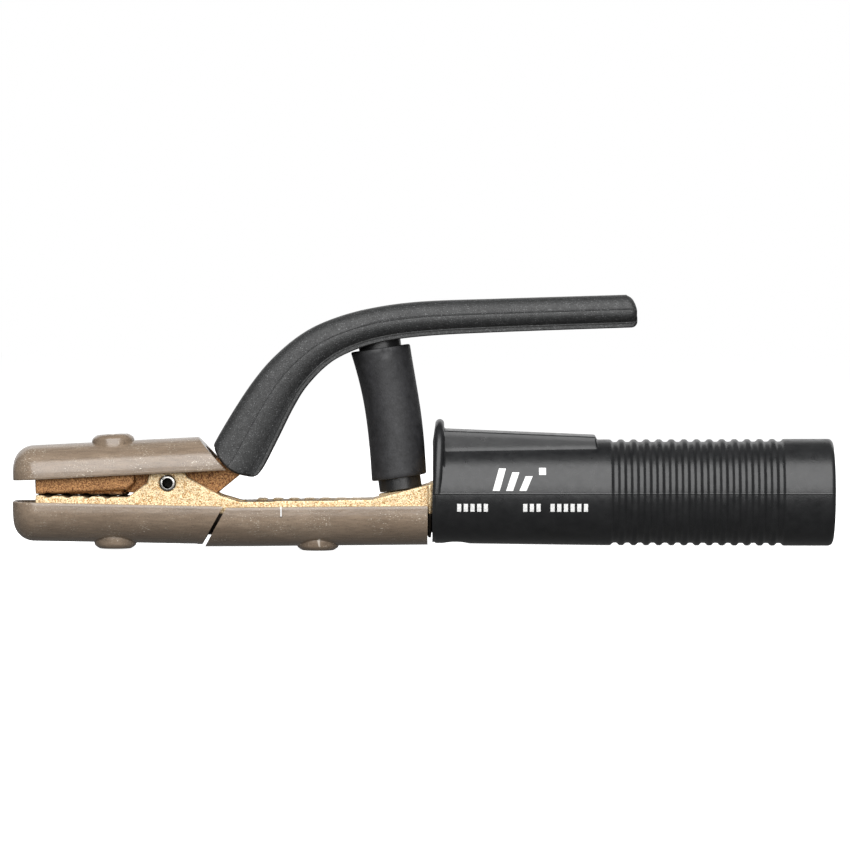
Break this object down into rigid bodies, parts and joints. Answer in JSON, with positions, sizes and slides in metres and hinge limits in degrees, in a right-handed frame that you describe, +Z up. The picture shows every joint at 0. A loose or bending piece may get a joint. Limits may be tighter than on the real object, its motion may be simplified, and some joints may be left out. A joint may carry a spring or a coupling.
{
  "type": "electrode holder",
  "caption": "Hand-held welding electrode holder: sprung lever opens an insulated grooved jaw above a cast body, with a ribbed handle that takes the welding cable.",
  "frame": {"origin": "centre of the footprint, on the plane of the lowest face, with the holder level and its jaw closed", "axes": "+X from the jaw's nose to the cable end of the handle, +Y across the holder, +Z up on the lever's side"},
  "size_m": [0.26, 0.034, 0.0811],
  "materials": {
    "body_casting": "sand-cast brass, as cast",
    "lever_casting": "cast copper alloy, browned",
    "lower_jaw_insulator": "compression-moulded brown insulation",
    "body_insulator": "compression-moulded brown insulation",
    "upper_jaw_insulator": "compression-moulded brown insulation",
    "handle": "moulded black nylon, semi-gloss",
    "lever_insulator": "matt grey-black moulding",
    "spring_sleeve": "matt black rubber",
    "washer": "red-brown fibre",
    "steel_screw": "plated steel, worn",
    "spring": "drawn spring steel",
    "pin": "plated steel",
    "cup": "black insulating moulding",
    "clamp_screw": "blackened steel",
    "cable_sleeve": "rolled copper tube"
  },
  "bodies": {
    "holder": {"body_casting": "body_casting", "hinge_pin": "pin", "lower_jaw_insulator": "lower_jaw_insulator", "lower_jaw_screw": "steel_screw", "lower_jaw_washer": "washer", "body_insulator": "body_insulator", "body_screw": "steel_screw", "body_washer": "washer", "handle": "handle", "handle_screw": "steel_screw", "cable_clamp_screw_front": "clamp_screw", "cable_clamp_screw_rear": "clamp_screw", "cable_sleeve": "cable_sleeve"},
    "lever": {"lever_casting": "lever_casting", "lever_insulator": "lever_insulator", "upper_jaw_insulator": "upper_jaw_insulator", "upper_jaw_screw": "steel_screw", "upper_jaw_washer": "washer", "spring_cup_upper": "cup"},
    "spring_unit": {"spring_cup_lower": "cup", "spring_sleeve": "spring_sleeve", "lever_spring": "spring"}
  },
  "joints": [
    {"name": "lever_hinge", "type": "hinge", "parent": "holder", "child": "lever", "pos_m": [-0.0807, 0, 0.0216], "axis": [0, 1, 0], "range_deg": [0, 7.5], "stiffness_Nm_per_rad": 42, "springref_deg": -7.85, "deforming": ["lever_spring", "spring_sleeve"]},
    {"name": "spring_swing", "type": "hinge", "parent": "holder", "child": "spring_unit", "pos_m": [-0.00032, 0, 0.01997], "axis": [0, 1, 0], "range_deg": [0, 5.7]}
  ],
  "couplings": [
    {"joint": "spring_swing", "follows": "lever_hinge", "ratio": 0.75}
  ]
}
